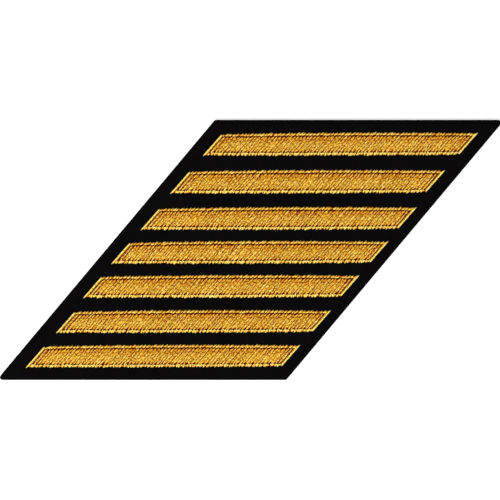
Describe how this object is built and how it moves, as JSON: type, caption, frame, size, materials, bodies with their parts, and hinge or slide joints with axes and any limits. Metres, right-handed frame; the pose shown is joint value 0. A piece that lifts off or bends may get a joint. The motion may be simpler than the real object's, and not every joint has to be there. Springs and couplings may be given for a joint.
{
  "type": "service stripe",
  "caption": "Leaning panel of black cloth with a ladder of raised gold embroidered bars, sewn on a uniform sleeve to show length of service.",
  "frame": {"origin": "middle of the cloth's underside, where it rests on the table or on the sleeve", "axes": "+X along the bars to the right, +Y up the stripe across the bars, +Z out of the embroidered face"},
  "size_m": [0.2656, 0.1378, 0.0023],
  "materials": {
    "black_cloth": "matt, close felted wool",
    "gold_fill_thread": "lustrous thread in long slanted stitches",
    "gold_border_thread": "lustrous thread in short satin stitches over padding"
  },
  "bodies": {
    "root": {"backing_cloth": "black_cloth", "bar_1_fill": "gold_fill_thread", "bar_1_border": "gold_border_thread", "bar_2_fill": "gold_fill_thread", "bar_2_border": "gold_border_thread", "bar_3_fill": "gold_fill_thread", "bar_3_border": "gold_border_thread", "bar_4_fill": "gold_fill_thread", "bar_4_border": "gold_border_thread", "bar_5_fill": "gold_fill_thread", "bar_5_border": "gold_border_thread", "bar_6_fill": "gold_fill_thread", "bar_6_border": "gold_border_thread", "bar_7_fill": "gold_fill_thread", "bar_7_border": "gold_border_thread"}
  },
  "joints": []
}
